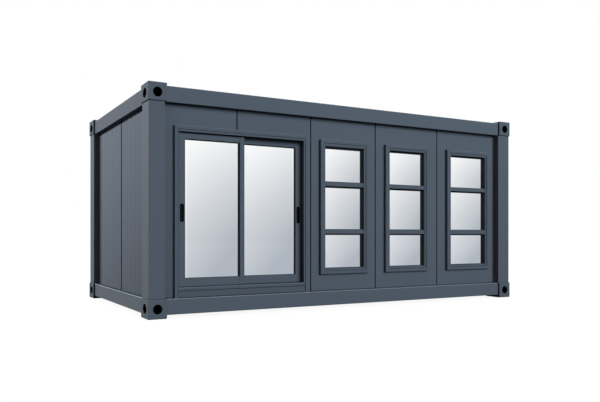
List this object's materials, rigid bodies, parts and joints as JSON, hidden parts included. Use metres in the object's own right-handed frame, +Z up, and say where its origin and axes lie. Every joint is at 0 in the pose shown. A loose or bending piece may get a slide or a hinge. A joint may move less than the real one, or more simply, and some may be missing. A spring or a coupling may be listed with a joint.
{
  "type": "shipping container cabin",
  "caption": "Steel-framed box cabin with corner castings, panelled walls, a sliding glass door and tall three-light windows in its front.",
  "frame": {"origin": "on the ground, under the middle of the cabin", "axes": "+X along the front to the right as seen from outside, +Y from the front to the back, +Z up"},
  "size_m": [6.055, 2.99, 2.8],
  "materials": {
    "frame_paint": "satin",
    "panel_paint": "satin",
    "joinery_paint": "satin",
    "roof_paint": "satin",
    "glass": "reflective coated glass",
    "pull_plastic": "matte",
    "roller_nylon": "matte",
    "floor_sheet": "sheet flooring on board",
    "joist_steel": "galvanised"
  },
  "bodies": {
    "cabin": {"back_bottom_rail": "frame_paint", "back_left_post": "frame_paint", "back_panel_1": "panel_paint", "back_panel_2": "panel_paint", "back_panel_3": "panel_paint", "back_panel_4": "panel_paint", "back_panel_5": "panel_paint", "back_right_post": "frame_paint", "back_top_rail": "frame_paint", "bottom_corner_castings": "frame_paint", "door_head": "joinery_paint", "door_jambs": "joinery_paint", "door_threshold": "joinery_paint", "end_bottom_rails": "frame_paint", "end_top_rails": "frame_paint", "floor_deck": "floor_sheet", "floor_joists": "joist_steel", "front_bottom_rail": "frame_paint", "front_left_post": "frame_paint", "front_panel_left": "panel_paint", "front_panel_over_door_left": "panel_paint", "front_panel_over_door_right": "panel_paint", "front_panel_right_of_door": "panel_paint", "front_right_post": "frame_paint", "front_top_rail": "frame_paint", "front_window_panel_1": "panel_paint", "front_window_panel_2": "panel_paint", "front_window_panel_3": "panel_paint", "left_panel_back": "panel_paint", "left_panel_front": "panel_paint", "right_panel_back": "panel_paint", "right_panel_front": "panel_paint", "roof_deck": "roof_paint", "top_corner_castings": "frame_paint", "window_frame_1": "joinery_paint", "window_frame_2": "joinery_paint", "window_frame_3": "joinery_paint", "window_panes": "glass"},
    "left_sash": {"left_sash_frame": "joinery_paint", "left_sash_glass": "glass", "left_sash_pull": "pull_plastic", "left_sash_rollers": "roller_nylon"},
    "right_sash": {"right_sash_frame": "joinery_paint", "right_sash_glass": "glass", "right_sash_pull": "pull_plastic", "right_sash_rollers": "roller_nylon"}
  },
  "joints": [
    {"name": "left_sash_slide", "type": "slide", "parent": "cabin", "child": "left_sash", "axis": [1, 0, 0], "range_m": [0, 0.83]},
    {"name": "right_sash_slide", "type": "slide", "parent": "cabin", "child": "right_sash", "axis": [1, 0, 0], "range_m": [-0.83, 0]}
  ]
}
